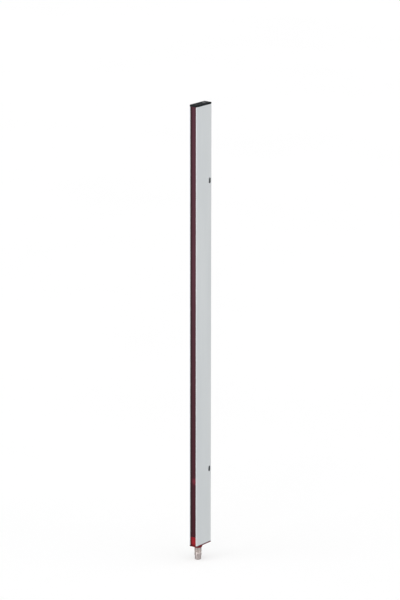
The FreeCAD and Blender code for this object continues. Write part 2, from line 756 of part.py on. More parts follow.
def make_circuit_board():
    """Long board across the bar, edges in the guide grooves."""
    body = new_body("circuit_board", board_bottom_z)
    board_u = f"({wall_u} - Sizes.board_edge_gap)"
    section = new_sketch(body, "board_section")
    draw_rectangle(section, f"(-{board_u})", board_u, board_front_v, board_rear_v)
    add_pad(body, section, "board", board_length)


def make_emitters():
    """Row of infrared emitters on the front of the board, one behind each lens."""
    body = new_body("emitter_leds", first_beam_z)
    base = new_sketch(body, "emitter_base_outline", "XZ_Plane", f"(-{board_front_v})")
    half = "(Sizes.emitter_width / 2)"
    draw_rectangle(base, f"(-{half})", half, f"(-{half})", half)
    base_pad = add_pad(body, base, "emitter_base", "Sizes.emitter_height")
    add_row(body, [base_pad], base, "emitter_row", beam_span, beam_count)


def make_optic_carrier():
    """Black baffle bar: a rebate for the lens strip and one tapered square tunnel a beam."""
    body = new_body("optic_carrier", carrier_bottom_z)
    section = new_sketch(body, "carrier_section")
    rebate_u = "(Sizes.lens_strip_width / 2 + Sizes.slide_gap)"
    draw_polygon(section, mirrored([
        (spigot_u, spigot_rear_v),
        (spigot_u, spigot_front_v),
        (rebate_u, spigot_front_v),
        (rebate_u, lens_rear_v),
    ]))
    add_pad(body, section, "carrier_bar", carrier_length)
    tunnel = new_sketch(body, "tunnel_mouth", "XZ_Plane", f"(-{lens_rear_v})")
    reach = "(Sizes.lens_aperture / 2 + Sizes.slide_gap)"
    draw_rectangle(tunnel, f"(-{reach})", reach, f"(Sizes.carrier_end_margin - {reach})",
                   f"(Sizes.carrier_end_margin + {reach})")
    tunnel_cut = add_pocket(body, tunnel, "beam_tunnel", f"({spigot_rear_v} - {lens_rear_v})",
                            taper="Sizes.tunnel_taper_deg")
    add_row(body, [tunnel_cut], tunnel, "beam_tunnels", beam_span, beam_count)
    guide = new_sketch(body, "guide_hole_section", "XZ_Plane", f"(-{spigot_front_v})")
    draw_circle(guide, status_u, status_rise, guide_hole_diameter)
    add_pocket(body, guide, "guide_hole", f"({spigot_rear_v} - {spigot_front_v})")


def make_lens_strip():
    """Clear strip with one bulged lens a beam, seated in the carrier's rebate."""
    body = new_body("lens_strip", carrier_bottom_z)
    half = "(Sizes.lens_strip_width / 2)"
    section = new_sketch(body, "lens_strip_section")
    draw_rectangle(section, f"(-{half})", half, spigot_front_v, lens_rear_v)
    add_pad(body, section, "lens_base", carrier_length)
    bulge = new_sketch(body, "lens_side", "YZ_Plane")
    draw_lens_side(bulge)
    lens = add_revolution(body, bulge, "lens_bulge", "Axis0")
    add_row(body, [lens], bulge, "lens_row", beam_span, beam_count)
    guide = new_sketch(body, "lens_guide_hole_section", "XZ_Plane", f"(-{spigot_front_v})")
    draw_circle(guide, status_u, status_rise, guide_hole_diameter)
    add_pocket(body, guide, "lens_guide_hole", "Sizes.lens_strip_thickness")


def draw_lens_side(sketch):
    """Half of a lens from the side: a flat foot and an arc that meets the optic axis."""
    foot, reach, sag = value(lens_rear_v), value("Sizes.lens_aperture") / 2, value("Sizes.lens_sag")
    axis_height = value("Sizes.carrier_end_margin")
    radius = (reach ** 2 + sag ** 2) / (2 * sag)
    centre = FreeCAD.Vector(foot + sag - radius, axis_height, 0)
    rim = FreeCAD.Vector(foot, axis_height + reach, 0)
    crown = FreeCAD.Vector(foot + sag, axis_height, 0)
    root = FreeCAD.Vector(foot, axis_height, 0)
    circle = Part.Circle(centre, FreeCAD.Vector(0, 0, 1), radius)
    arc = sketch.addGeometry(Part.ArcOfCircle(circle, 0, circle.parameter(rim)), False)
    foot_line = sketch.addGeometry(Part.LineSegment(rim, root), False)
    axis_line = sketch.addGeometry(Part.LineSegment(root, crown), False)
    axis = sketch.addGeometry(Part.LineSegment(root, crown), True)
    sketch.addConstraint(Sketcher.Constraint("Coincident", arc, 2, foot_line, 1))
    sketch.addConstraint(Sketcher.Constraint("Coincident", foot_line, 2, axis_line, 1))
    sketch.addConstraint(Sketcher.Constraint("Coincident", axis_line, 2, arc, 1))
    sketch.addConstraint(Sketcher.Constraint("Coincident", axis, 1, axis_line, 1))
    sketch.addConstraint(Sketcher.Constraint("Coincident", axis, 2, axis_line, 2))
    sketch.addConstraint(Sketcher.Constraint("PointOnObject", arc, 3, axis))
    axis_rise = "Sizes.carrier_end_margin"
    place_point(sketch, foot_line, 1, lens_rear_v, f"({axis_rise} + Sizes.lens_aperture / 2)")
    place_point(sketch, axis_line, 1, lens_rear_v, axis_rise)
    place_point(sketch, axis_line, 2, f"({lens_rear_v} + Sizes.lens_sag)", axis_rise)


def make_board_block(label, width, length, height, rise, pitch=None, count=None):
    """Rectangular component on the rear of the board, alone or in a row."""
    body = new_body(label, f"({board_bottom_z} + {rise})")
    outline = new_sketch(body, f"{label}_outline", "XZ_Plane", f"(-{board_rear_v} - {height})")
    draw_rectangle(outline, f"(-{width} / 2)", f"({width} / 2)",
                   f"(-{length} / 2)", f"({length} / 2)")
    block = add_pad(body, outline, f"{label}_block", height)
    if count is not None:
        add_row(body, [block], outline, f"{label}_row", f"({pitch} * ({count} - 1))", count)


def make_status_light():
    """Status light on the board and the clear rod that leads it to the window."""
    lamp = new_body("status_led", status_z)
    outline = new_sketch(lamp, "status_led_outline", "XZ_Plane", f"(-{board_front_v})")
    half = "(Sizes.status_led_width / 2)"
    draw_rectangle(outline, f"({status_u} - {half})", f"({status_u} + {half})",
                   f"(-{half})", half)
    add_pad(lamp, outline, "status_led_block", "Sizes.status_led_height")

    guide_rear_v = f"({board_front_v} - Sizes.status_led_height - Sizes.slide_gap)"
    guide = new_body("light_guide", status_z)
    section = new_sketch(guide, "light_guide_section", "XZ_Plane", f"(-{guide_rear_v})")
    draw_circle(section, status_u, "0", "Sizes.light_guide_diameter")
    add_pad(guide, section, "light_guide_rod", f"({guide_rear_v} - {spigot_front_v})")


def make_connector_flex():
    """Flexible printed strip: its foot lies on the pins, and it turns up to the board."""
    body = new_body("connector_flex", bottom_z)
    foot_front_v = f"({connector_v} - Sizes.pin_pitch / 2 - Sizes.pin_diameter)"
    foot_top_z = f"({pin_top_z} + Sizes.flex_thickness)"
    upright_v = f"({board_front_v} - Sizes.flex_thickness)"
    flex_top_z = f"({board_bottom_z} - {bottom_z} + Sizes.flex_rise)"
    side = new_sketch(body, "flex_side", "YZ_Plane")
    draw_polygon(side, [
        (foot_front_v, pin_top_z),
        (board_front_v, pin_top_z),
        (board_front_v, flex_top_z),
        (upright_v, flex_top_z),
        (upright_v, foot_top_z),
        (foot_front_v, foot_top_z),
    ])
    strip = add_pad(body, side, "flex_strip", "Sizes.flex_width")
    strip.SideType = "Symmetric"
    doc.recompute()
    corner = (value(board_front_v), value(pin_top_z))
    outer = edges_where(body, lambda p: near(p.y, corner[0]) and near(p.z, corner[1]))
    add_fillet(body, "flex_outer_bend", outer,
               "(Sizes.flex_bend_radius + Sizes.flex_thickness)")
    corner = (value(upright_v), value(foot_top_z))
    inner = edges_where(body, lambda p: near(p.y, corner[0]) and near(p.z, corner[1]))
    add_fillet(body, "flex_inner_bend", inner, "Sizes.flex_bend_radius")


def check_document():
    """Stop before anything is written if an object failed or a shape is unsound."""
    for item in doc.Objects:
        if "Invalid" in item.State or "Error" in item.State:
            raise RuntimeError(f"{item.Name} failed: {item.State}")
    for body in pieces:
        if body.Shape.isNull() or not body.Shape.isValid():
            raise RuntimeError(f"{body.Label} has no sound shape")


make_housing_profile()
make_window()
make_window_seals()
make_top_cap()
make_gasket("top_cap_gasket", "top", profile_top_z, False)
make_screw("top_cap_screw", top_z, False)
make_bottom_cap()
make_gasket("bottom_cap_gasket", "bottom", f"({bottom_z} + Sizes.flange_thickness)", True)
make_screw("bottom_cap_screw", bottom_z, True)
make_connector_shell()
make_connector_insert()
make_contact_pins()
make_connector_seal()
make_circuit_board()
make_emitters()
make_optic_carrier()
make_lens_strip()
make_board_block("control_chip", "Sizes.chip_width", "Sizes.chip_width",
                 "Sizes.chip_height", "Sizes.chip_rise")
make_board_block("driver_chips", "Sizes.driver_width", "Sizes.driver_length",
                 "Sizes.chip_height", f"({driver_pitch} / 2)", driver_pitch, "Sizes.driver_count")
make_board_block("capacitors", "Sizes.capacitor_width", "Sizes.capacitor_length",
                 "Sizes.capacitor_height", "Sizes.capacitor_rise",
                 "Sizes.capacitor_pitch", "Sizes.capacitor_count")
make_status_light()
make_connector_flex()
doc.recompute()
check_document()

os.makedirs("parts", exist_ok=True)
for body in pieces:
    body.Shape.exportStep(f"parts/{body.Label}.step")
    box = body.Shape.BoundBox
    print(f"{body.Label}: {len(body.Shape.Solids)} solid(s), "
          f"{box.XLength:.2f} x {box.YLength:.2f} x {box.ZLength:.2f} mm")
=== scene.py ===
import json
import math
import bmesh
import bpy
from mathutils import Matrix, Vector


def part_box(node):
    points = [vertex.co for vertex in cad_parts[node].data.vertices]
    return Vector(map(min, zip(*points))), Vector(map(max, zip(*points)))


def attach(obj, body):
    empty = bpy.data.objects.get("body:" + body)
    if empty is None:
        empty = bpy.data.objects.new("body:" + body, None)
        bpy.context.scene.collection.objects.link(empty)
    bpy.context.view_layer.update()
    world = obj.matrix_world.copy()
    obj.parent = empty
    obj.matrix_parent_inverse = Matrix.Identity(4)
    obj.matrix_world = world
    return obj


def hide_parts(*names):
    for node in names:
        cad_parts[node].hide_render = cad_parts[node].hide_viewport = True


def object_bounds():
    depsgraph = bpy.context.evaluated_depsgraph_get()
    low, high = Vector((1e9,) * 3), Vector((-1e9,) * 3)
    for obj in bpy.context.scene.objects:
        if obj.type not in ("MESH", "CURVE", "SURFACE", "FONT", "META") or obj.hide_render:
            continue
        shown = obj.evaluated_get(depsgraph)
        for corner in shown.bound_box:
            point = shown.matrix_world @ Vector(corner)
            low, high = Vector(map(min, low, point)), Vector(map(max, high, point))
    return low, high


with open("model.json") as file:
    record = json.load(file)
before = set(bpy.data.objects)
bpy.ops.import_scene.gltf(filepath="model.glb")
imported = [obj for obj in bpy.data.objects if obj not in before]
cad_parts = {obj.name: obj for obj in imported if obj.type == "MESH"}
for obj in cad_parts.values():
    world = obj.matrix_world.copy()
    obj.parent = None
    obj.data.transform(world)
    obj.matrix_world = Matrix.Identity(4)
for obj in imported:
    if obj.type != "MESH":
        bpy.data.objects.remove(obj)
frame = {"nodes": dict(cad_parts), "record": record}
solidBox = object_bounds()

mm = 0.001
white = (1.0, 1.0, 1.0)
record = frame["record"]
slotOfNode = {part["node"]: part["material_slot"] for part in record["subparts"]}
print("frame loaded:", len(frame["nodes"]), "nodes")


# node helpers: an owner is a material or the world
def addNode(owner, kind, **sockets):
    node = owner.node_tree.nodes.new(kind)
    for socket, value in sockets.items():
        node.inputs[socket].default_value = value
    return node


def wire(owner, source, target):
    owner.node_tree.links.new(source, target)


def calculate(owner, operation, source, amount=0.0):  # the amount is a number or another node's output
    node = addNode(owner, "ShaderNodeMath")
    node.operation = operation
    wire(owner, source, node.inputs[0])
    if isinstance(amount, bpy.types.NodeSocket):
        wire(owner, amount, node.inputs[1])
    else:
        node.inputs[1].default_value = amount
    return node.outputs["Value"]


def spread(owner, factor, low, high, fromLow=0.3, fromHigh=0.7):  # noise seldom leaves 0.3 to 0.7
    span = addNode(owner, "ShaderNodeMapRange")
    span.inputs["From Min"].default_value = fromLow
    span.inputs["From Max"].default_value = fromHigh
    span.inputs["To Min"].default_value = low
    span.inputs["To Max"].default_value = high
    wire(owner, factor, span.inputs["Value"])
    return span.outputs["Result"]


def tint(owner, factor, dark, light, darkAt=0.35, lightAt=0.65):
    ramp = addNode(owner, "ShaderNodeValToRGB")
    ramp.color_ramp.elements[0].position = darkAt
    ramp.color_ramp.elements[0].color = (*dark, 1.0)
    ramp.color_ramp.elements[1].position = lightAt
    ramp.color_ramp.elements[1].color = (*light, 1.0)
    wire(owner, factor, ramp.inputs["Fac"])
    return ramp.outputs["Color"]


def grainOf(material, scale, stretch, detail=4.0, roughness=0.55):
    place = addNode(material, "ShaderNodeTexCoord")
    mapping = addNode(material, "ShaderNodeMapping", Scale=stretch)
    noise = addNode(material, "ShaderNodeTexNoise", Scale=scale, Detail=detail, Roughness=roughness)
    wire(material, place.outputs["Object"], mapping.inputs["Vector"])
    wire(material, mapping.outputs["Vector"], noise.inputs["Vector"])
    return noise.outputs["Fac"]


def shaderOf(material):
    return material.node_tree.nodes["Principled BSDF"]


def relief(material, height, depth):
    bump = addNode(material, "ShaderNodeBump", Distance=depth)
    wire(material, height, bump.inputs["Height"])
    wire(material, bump.outputs["Normal"], shaderOf(material).inputs["Normal"])


# finishes: each look is what a user would change, and these functions make materials of them
socketOfWord = {
    "metal": "Metallic", "ior": "IOR", "specular": "Specular IOR Level", "clear": "Transmission Weight",
    "coat": "Coat Weight", "coatRough": "Coat Roughness", "turned": "Anisotropic",
    "turnedAngle": "Anisotropic Rotation", "glow": "Emission Strength",
}


def startMaterial(name, look):
    material = bpy.data.materials.new(name)
    material.use_nodes = True
    shader = shaderOf(material)
    for word, socket in socketOfWord.items():
        if word in look:
            shader.inputs[socket].default_value = look[word]
    for word, socket in (("edgeTint", "Specular Tint"), ("glowColour", "Emission Color")):
        if word in look:
            shader.inputs[socket].default_value = (*look[word], 1.0)
    return material


def paintAndRough(material, tone, rough):
    wire(material, tone, shaderOf(material).inputs["Base Color"])
    wire(material, rough, shaderOf(material).inputs["Roughness"])


def grainedFinish(name, look):
    material = startMaterial(name, look)
    cloud = grainOf(material, look["cloudScale"], look.get("cloudStretch", (1, 1, 1)), detail=3.0)
    grain = grainOf(material, look["grainScale"], look.get("grainStretch", (1, 1, 1)))
    tone = tint(material, cloud, look["dark"], look["light"])
    paintAndRough(material, tone, spread(material, grain, *look["rough"]))
    relief(material, grain, look["grainDepth"])
    return material


aluminiumLook = {
    "dark": (0.590, 0.618, 0.630), "light": (0.630, 0.654, 0.664), "metal": 0.60,
    "rough": (0.42, 0.54), "cloudScale": 40.0, "cloudStretch": (1, 1, 0.12),
    "grainScale": 2500.0, "grainStretch": (1, 1, 0.01), "grainDepth": 0.006 * mm,
    "slotShadeTone": (0.22, 0.23, 0.24), "slotEdge": 0.04 * mm,  # the slots' milled walls carry painted shade
}
rubberLook = {
    "dark": (0.012, 0.012, 0.013), "light": (0.022, 0.022, 0.023), "rough": (0.65, 0.85),
    "cloudScale": 200.0, "grainScale": 4000.0, "grainDepth": 0.01 * mm,
}
blackPlasticLook = {
    "dark": (0.009, 0.011, 0.012), "light": (0.016, 0.018, 0.020), "rough": (0.62, 0.80),
    "specular": 0.06, "cloudScale": 150.0, "grainScale": 3500.0, "grainDepth": 0.012 * mm,
}
darkSteelLook = {
    "dark": (0.05, 0.05, 0.055), "light": (0.10, 0.10, 0.105), "metal": 1.0, "rough": (0.30, 0.45),
    "cloudScale": 900.0, "grainScale": 5000.0, "grainDepth": 0.006 * mm,
}
redPlasticLook = {
    "dark": (0.25, 0.006, 0.011), "light": (0.30, 0.010, 0.016), "rough": (0.34, 0.46),
    "specular": 0.14, "cloudScale": 180.0, "grainScale": 3200.0, "grainDepth": 0.008 * mm,
    "sideShadeTone": (0.45, 0.45, 0.45), "edgeWidth": 1.6 * mm,  # painted shade on the side away from the light guide
    "lowShadeTone": (0.62, 0.7, 0.7), "lowHeight": 5.8 * mm, "lowBlend": 0.5 * mm,  # painted shade on the boss, flange and step
}
platedBrassLook = {
    "dark": (0.57, 0.51, 0.485), "light": (0.67, 0.61, 0.585), "metal": 1.0, "rough": (0.26, 0.36),
    "edgeTint": (0.30, 0.27, 0.26), "turned": 0.9, "turnedAngle": 0.25,  # highlights run along the axis
    "cloudScale": 300.0, "grainScale": 3000.0, "grainStretch": (0.05, 0.05, 1), "grainDepth": 0.004 * mm,
    "lowShadeTone": (0.66, 0.645, 0.655), "lowHeight": 7.6 * mm, "lowBlend": 0.76 * mm,  # painted shade on the nose
}
contactCarrierLook = {
    "dark": (0.014, 0.014, 0.015), "light": (0.026, 0.026, 0.027), "rough": (0.30, 0.42),
    "cloudScale": 500.0, "grainScale": 4500.0, "grainDepth": 0.006 * mm,
}
goldLook = {
    "dark": (0.70, 0.47, 0.16), "light": (0.83, 0.60, 0.24), "metal": 1.0, "rough": (0.16, 0.28),
    "cloudScale": 1200.0, "grainScale": 5000.0, "grainStretch": (1, 1, 0.2), "grainDepth": 0.003 * mm,
}
carrierLook = {
    "dark": (0.008, 0.008, 0.009), "light": (0.014, 0.014, 0.015), "rough": (0.55, 0.75),
    "cloudScale": 200.0, "grainScale": 3000.0, "grainDepth": 0.01 * mm,
}
clearLook = {
    "dark": (0.86, 0.88, 0.90), "light": (0.93, 0.94, 0.95), "clear": 0.9, "ior": 1.49,
    "rough": (0.04, 0.10), "cloudScale": 200.0, "grainScale": 900.0, "grainDepth": 0.002 * mm,
}
chipLook = {
    "dark": (0.016, 0.016, 0.017), "light": (0.030, 0.030, 0.031), "rough": (0.50, 0.68),
    "cloudScale": 900.0, "grainScale": 6000.0, "grainDepth": 0.01 * mm,
}
capacitorLook = {
    "dark": (0.62, 0.38, 0.06), "light": (0.75, 0.50, 0.10), "rough": (0.28, 0.40),
    "cloudScale": 700.0, "grainScale": 4000.0, "grainDepth": 0.005 * mm,
}
flexLook = {
    "dark": (0.42, 0.18, 0.03), "light": (0.56, 0.27, 0.05), "rough": (0.22, 0.34), "coat": 0.3,
    "coatRough": 0.1, "cloudScale": 400.0, "grainScale": 2500.0, "grainStretch": (6, 1, 1),
    "grainDepth": 0.006 * mm,
}
statusLook = {
    "dark": (0.60, 0.03, 0.03), "light": (0.80, 0.05, 0.05), "rough": (0.20, 0.30),
    "cloudScale": 900.0, "grainScale": 3000.0, "grainDepth": 0.004 * mm,
    "glowColour": (1.0, 0.06, 0.05), "glow": 2.0,
}
finishes = {
    "anodised_aluminium": grainedFinish("anodisedAluminium", aluminiumLook),
    "black_rubber": grainedFinish("blackRubber", rubberLook),
    "black_plastic": grainedFinish("blackPlastic", blackPlasticLook),
    "dark_steel": grainedFinish("darkSteel", darkSteelLook),
    "red_plastic": grainedFinish("redPlastic", redPlasticLook),
    "plated_brass": grainedFinish("platedBrass", platedBrassLook),
    "contact_carrier_plastic": grainedFinish("contactCarrierPlastic", contactCarrierLook),
    "gold_contact": grainedFinish("goldContact", goldLook),
    "carrier_plastic": grainedFinish("carrierPlastic", carrierLook),
    "clear_plastic": grainedFinish("clearPlastic", clearLook),
    "chip_epoxy": grainedFinish("chipEpoxy", chipLook),
    "capacitor_yellow": grainedFinish("capacitorYellow", capacitorLook),
    "flex_film": grainedFinish("flexFilm", flexLook),
    "status_red": grainedFinish("statusRed", statusLook),
}

boardLook = {
    "dark": (0.010, 0.075, 0.035), "light": (0.018, 0.115, 0.055), "rough": (0.30, 0.42), "coat": 0.4,
    "coatRough": 0.1, "cloudScale": 120.0, "darkAt": 0.4, "lightAt": 0.9,
    "trackScale": 420.0, "trackGap": 0.06, "trackRow": 0.9, "trackShare": 0.35, "trackRise": 0.03 * mm,
}


def boardFinish(name, look):  # copper tracks show through the solder resist
    material = startMaterial(name, look)
    cloud = grainOf(material, look["cloudScale"], (1, 1, 1), detail=3.0)
    place = addNode(material, "ShaderNodeTexCoord")
    brick = addNode(material, "ShaderNodeTexBrick", Scale=look["trackScale"])
    brick.inputs["Mortar Size"].default_value = look["trackGap"]
    brick.inputs["Row Height"].default_value = look["trackRow"]
    wire(material, place.outputs["Object"], brick.inputs["Vector"])
    tracks = brick.outputs["Fac"]
    mixed = calculate(material, "ADD", calculate(material, "MULTIPLY", tracks, look["trackShare"]), cloud)
    tone = tint(material, mixed, look["dark"], look["light"], look["darkAt"], look["lightAt"])
    paintAndRough(material, tone, spread(material, cloud, *look["rough"]))
    relief(material, tracks, look["trackRise"])
    return material


finishes["board_laminate"] = boardFinish("boardLaminate", boardLook)

filterLook = {
    "dark": (0.089, 0.0235, 0.0355), "light": (0.106, 0.0280, 0.0430), "rough": (0.10, 0.18),
    "clear": 0.25, "ior": 1.49, "specular": 0.10, "cloudScale": 60.0, "cloudStretch": (1, 1, 0.1),
    "grainScale": 700.0, "grainStretch": (1, 1, 0.05), "grainDepth": 0.003 * mm,
    "glowColour": (1.0, 0.08, 0.15), "glow": 0.15, "glowSize": (4.6 * mm, 2.5 * mm, 5.0 * mm),
    "sideShadeTone": (0.40, 0.20, 0.30), "edgeWidth": 1.6 * mm,  # painted shade on the side away from the light guide
    "lowShadeTone": (0.57, 0.06, 0.20), "lowShare": 0.6,  # painted reflection: greyer up the filter, deeper towards the foot
}


def filterFinish(name, look, spot):  # the glow fades out round the spot in front of the status light
    material = grainedFinish(name, look)
    place = addNode(material, "ShaderNodeTexCoord")
    centre = addNode(material, "ShaderNodeMapping")
    centre.inputs["Location"].default_value = [-c / s for c, s in zip(spot, look["glowSize"])]
    centre.inputs["Scale"].default_value = [1 / s for s in look["glowSize"]]
    ball = addNode(material, "ShaderNodeTexGradient")
    ball.gradient_type = "SPHERICAL"
    wire(material, place.outputs["Object"], centre.inputs["Vector"])
    wire(material, centre.outputs["Vector"], ball.inputs["Vector"])
    power = calculate(material, "MULTIPLY", ball.outputs["Fac"], look["glow"])
    wire(material, power, shaderOf(material).inputs["Emission Strength"])
    return material


guideLow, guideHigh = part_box("light_guide")
windowLow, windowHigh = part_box("front_window")
glowSpot = ((guideLow.x + guideHigh.x) / 2, windowLow.y, (guideLow.z + guideHigh.z) / 2)
finishes["red_filter"] = filterFinish("redFilter", filterLook, glowSpot)


# shades by place: a zone is an axis, a centre on it, the distance of no share and that of the full share
def shareOf(material, place, zone):
    axis, centre, noneAt, fullAt = zone
    parts = addNode(material, "ShaderNodeSeparateXYZ")
    wire(material, place.outputs["Object"], parts.inputs["Vector"])
    distance = calculate(material, "ABSOLUTE", calculate(material, "SUBTRACT", parts.outputs[axis], centre))
    return spread(material, distance, 0.0, 1.0, noneAt, fullAt)


def shadeWhere(slot, zones, tone):  # multiplies the colour by a tone where all the zones overlap
    material = finishes[slot]
    place = addNode(material, "ShaderNodeTexCoord")
    share = shareOf(material, place, zones[0])
    for zone in zones[1:]:
        share = calculate(material, "MULTIPLY", share, shareOf(material, place, zone))
    blend = addNode(material, "ShaderNodeVectorMath")
    blend.operation = "MULTIPLY"
    colour = shaderOf(material).inputs["Base Color"]
    wire(material, colour.links[0].from_socket, blend.inputs[0])
    wire(material, tint(material, share, white, tone, 0.0, 1.0), blend.inputs[1])
    wire(material, blend.outputs["Vector"], colour)


windowHalf = (windowHigh.x - windowLow.x) / 2
# painted shade on the filter and the red foot, on the side away from the light guide
for slot, look in (("red_filter", filterLook), ("red_plastic", redPlasticLook)):
    shadeWhere(slot, [("X", glowSpot[0], windowHalf - look["edgeWidth"], windowHalf)], look["sideShadeTone"])
# painted reflection on the filter: greyer up the bar, deeper towards the foot
lowReach = filterLook["lowShare"] * (windowHigh.z - windowLow.z)
shadeWhere("red_filter", [("Z", windowLow.z, lowReach, 0.0)], filterLook["lowShadeTone"])
# painted shade at the low end of the red foot and of the plug's nose
for slot, node, look in (("red_plastic", "bottom_cap", redPlasticLook),
                         ("plated_brass", "connector_shell", platedBrassLook)):
    lowEnd = ("Z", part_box(node)[0].z, look["lowHeight"], look["lowHeight"] - look["lowBlend"])
    shadeWhere(slot, [lowEnd], look["lowShadeTone"])

# painted shade on the walls inside the mounting slots
slotMount = next(mount for mount in record["mounts"] if mount["name"] == "mounting_slots")
slotHalf, slotEdge = slotMount["dims"]["hole_r_mm"] * mm, aluminiumLook["slotEdge"]
barLow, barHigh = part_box("housing_profile")
barHalf = (barHigh.x - barLow.x) / 2
inBar = ("X", (barLow.x + barHigh.x) / 2, barHalf - slotEdge, barHalf - 2 * slotEdge)
inSlot = ("Y", slotMount["pos_m"][1], slotHalf + 2 * slotEdge, slotHalf + slotEdge)
shadeWhere("anodised_aluminium", [inBar, inSlot], aluminiumLook["slotShadeTone"])
print("finishes ready:", len(finishes))

# pieces: every one replaces its own solid and rides with the bar
meshCare = {"weld": 0.001 * mm, "flatAngle": 0.5, "onPlane": 0.01 * mm, "cornerAngle": 40.0}


def finishPiece(name, bm, node, sharpAngle=30.0):
    mesh = bpy.data.meshes.new(name)
    for face in bm.faces:
        face.smooth = True
    bm.normal_update()
    for edge in bm.edges:
        edge.smooth = edge.calc_face_angle(0.0) < math.radians(sharpAngle)
    bm.to_mesh(mesh)
    bm.free()
    piece = bpy.data.objects.new(name, mesh)
    bpy.context.scene.collection.objects.link(piece)
    mesh.materials.append(finishes[slotOfNode[node]])
    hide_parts(node)
    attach(piece, "root")


def weld(bm, reach):
    bmesh.ops.remove_doubles(bm, verts=bm.verts, dist=reach)


def solidCopy(node):
    bm = bmesh.new()
    bm.from_mesh(frame["nodes"][node].data)
    weld(bm, meshCare["weld"])
    bmesh.ops.dissolve_limit(bm, angle_limit=math.radians(meshCare["flatAngle"]),
                             verts=bm.verts, edges=bm.edges)
    return bm


def newVerts(made):
    return [item for item in made["geom"] if isinstance(item, bmesh.types.BMVert)]


def corners(bm, leastAngle, test):  # edges at an angle whose ends both pass a test
    return [edge for edge in bm.edges
            if len(edge.link_faces) == 2 and edge.calc_face_angle(0.0) > math.radians(leastAngle)
            and all(test(vert.co) for vert in edge.verts)]


def frontUprights(bm, leastHeight):  # upright edges in the plane of the window's front
    front = corners(bm, meshCare["cornerAngle"], lambda p: abs(p.y - windowLow.y) < meshCare["onPlane"])
    return [edge for edge in front if abs(edge.verts[0].co.z - edge.verts[1].co.z) > leastHeight]


def roundEdges(bm, edges, radius, steps):
    bmesh.ops.bevel(bm, geom=edges, offset=radius, offset_type="OFFSET", affect="EDGES",
                    segments=steps, profile=0.5, material=-1, clamp_overlap=True)


# bar: its own solid with soft shading on the corners
finishPiece("barProfile", solidCopy("housing_profile"), "housing_profile")
print("bar profile done")

# window: T section with rounded nose edges, drawn up the bar
windowSize = {
    "noseReach": 3.75 * mm, "footReach": 4.3 * mm, "noseDepth": 0.85 * mm,
    "edgeRound": 0.35 * mm, "roundSteps": 4, "leastEdge": 1.0 * mm,
}
middleX = (windowLow.x + windowHigh.x) / 2
nose, foot = windowSize["noseReach"], windowSize["footReach"]
shoulderY = windowLow.y + windowSize["noseDepth"]
section = [
    (-nose, windowLow.y), (nose, windowLow.y), (nose, shoulderY), (foot, shoulderY),
    (foot, windowHigh.y), (-foot, windowHigh.y), (-foot, shoulderY), (-nose, shoulderY),
]
bm = bmesh.new()
face = bm.faces.new([bm.verts.new((middleX + x, y, windowLow.z)) for x, y in section])
drawn = newVerts(bmesh.ops.extrude_face_region(bm, geom=[face]))
bmesh.ops.translate(bm, verts=drawn, vec=(0, 0, windowHigh.z - windowLow.z))
bmesh.ops.recalc_face_normals(bm, faces=bm.faces)
noseEdges = frontUprights(bm, windowSize["leastEdge"])
roundEdges(bm, noseEdges, windowSize["edgeRound"], windowSize["roundSteps"])
finishPiece("frontWindow", bm, "front_window")
print("front window done")

# top cap, screws and plug insides: merged copies of their solids
nameOfCopy = {
    "top_cap": "topCap", "top_cap_screw": "topCapScrew", "bottom_cap_screw": "bottomCapScrew",
    "connector_insert": "contactCarrier", "contact_pins": "contactPins",
}
for node, name in nameOfCopy.items():
    finishPiece(name, solidCopy(node), node)
print("cap, screws and contacts done")

# red foot cap: a shorter boss, and the tongue's front edges are rounded as the window's are
footSize = {"bossTrim": 0.8 * mm, "edgeRound": 0.35 * mm, "roundSteps": 4, "leastEdge": 2.0 * mm}
bm = solidCopy("bottom_cap")
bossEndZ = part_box("bottom_cap")[0].z
bossEnd = [vert for vert in bm.verts if vert.co.z < bossEndZ + meshCare["onPlane"]]
bmesh.ops.translate(bm, verts=bossEnd, vec=(0, 0, footSize["bossTrim"]))
tongueEdges = frontUprights(bm, footSize["leastEdge"])
roundEdges(bm, tongueEdges, footSize["edgeRound"], footSize["roundSteps"])
finishPiece("footCap", bm, "bottom_cap")
print("foot cap done")

# plug: turned core with a real thread round it
plugSize = {
    "outline": [  # radius and height over the nose's end, from the bore round to the bore, in mm
        (2.4, 20.8), (3.0, 20.8), (3.0, 14.6), (3.4, 14.6), (3.4, 8.5), (3.3, 8.5), (3.3, 7.2), (3.95, 7.2),
        (3.95, 4.8), (3.5, 4.8), (3.5, 0.5), (3.0, 0.0), (2.9, 0.0), (2.9, 11.8), (2.4, 11.8),
    ],
    "steps": 48, "shadeAngle": 40.0, "edgeRound": 0.12 * mm, "roundSteps": 3,
    "roundFrom": 2.95 * mm, "roundBelow": 8.0 * mm, "cornerAngle": 35.0,  # the nose's outer edges
    "pitch": 1.0 * mm, "crest": 4.0 * mm, "root": 3.38 * mm,  # the root is a little inside the core
    "crestFlat": 0.13 * mm, "flank": 0.35 * mm, "threadLength": 6.1 * mm, "threadTop": 14.6 * mm,
    "spareTurns": 2, "threadWeld": 0.002 * mm, "cutSnap": 0.0005 * mm, "endRadius": 3.2 * mm,
}
low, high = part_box("connector_shell")
axisFoot = Vector(((low.x + high.x) / 2, (low.y + high.y) / 2, low.z))
bm = bmesh.new()
ring = [bm.verts.new(axisFoot + Vector((r * mm, 0, z * mm))) for r, z in plugSize["outline"]]
loop = [bm.edges.new(pair) for pair in zip(ring, ring[1:] + ring[:1])]
bmesh.ops.spin(bm, geom=ring + loop, cent=axisFoot, axis=(0, 0, 1), angle=2 * math.pi,
               steps=plugSize["steps"], use_merge=True, use_duplicate=False)
weld(bm, meshCare["weld"])
bmesh.ops.recalc_face_normals(bm, faces=bm.faces)
plugEdges = corners(bm, plugSize["cornerAngle"],
                    lambda p: (p - axisFoot).xy.length > plugSize["roundFrom"]
                    and p.z < axisFoot.z + plugSize["roundBelow"])
roundEdges(bm, plugEdges, plugSize["edgeRound"], plugSize["roundSteps"])

